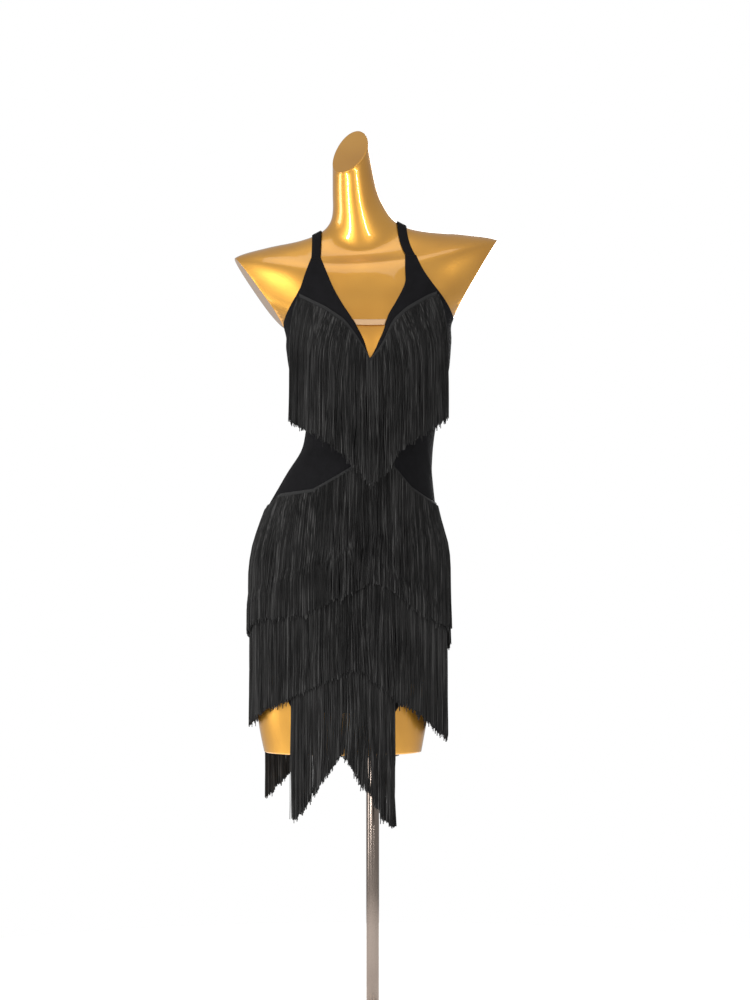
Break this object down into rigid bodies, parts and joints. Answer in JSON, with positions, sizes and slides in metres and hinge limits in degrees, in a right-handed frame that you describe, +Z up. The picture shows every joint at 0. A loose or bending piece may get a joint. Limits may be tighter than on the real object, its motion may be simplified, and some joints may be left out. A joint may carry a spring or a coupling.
{
  "type": "fringed latin dance dress on a limbless dress form with a pole stand",
  "caption": "Black jersey halter dance dress with slanted tiers of hanging fringe, worn by a limbless gold dress form on a steel pole and round base.",
  "frame": {"origin": "centre of the round base's underside, on the floor", "axes": "+Z up along the pole, -Y the dress's front, +X towards the viewer's right when facing the front"},
  "size_m": [0.4473, 0.38, 1.5611],
  "materials": {
    "gold_lacquer": "metallic gold lacquer on a glass-fibre shell",
    "pole_steel": "polished steel tube",
    "base_steel": "brushed steel plate, collar and flange",
    "jersey": "fine black stretch jersey",
    "fringe_tape": "woven black heading tape",
    "fringe_yarn": "soft twisted black viscose fringe",
    "bar_elastic": "beige woven elastic"
  },
  "bodies": {
    "root": {"form_body": "gold_lacquer", "form_flange": "base_steel", "stand_pole": "pole_steel", "stand_collar": "base_steel", "stand_base": "base_steel", "bodice_front_left": "jersey", "bodice_front_right": "jersey", "bodice_back": "jersey", "skirt_front": "jersey", "skirt_back": "jersey", "strap_left": "jersey", "strap_right": "jersey", "neck_bar": "bar_elastic", "tape_1_left": "fringe_tape", "tape_1_right": "fringe_tape", "tape_2_front": "fringe_tape", "tape_2_back": "fringe_tape", "tape_3_front": "fringe_tape", "tape_3_back": "fringe_tape", "tape_4_front": "fringe_tape", "tape_4_back": "fringe_tape", "fringe_1_left": "fringe_yarn", "fringe_1_right": "fringe_yarn", "fringe_2_front": "fringe_yarn", "fringe_2_back": "fringe_yarn", "fringe_3_front": "fringe_yarn", "fringe_3_back": "fringe_yarn", "fringe_4_front": "fringe_yarn", "fringe_4_back": "fringe_yarn"}
  },
  "joints": []
}
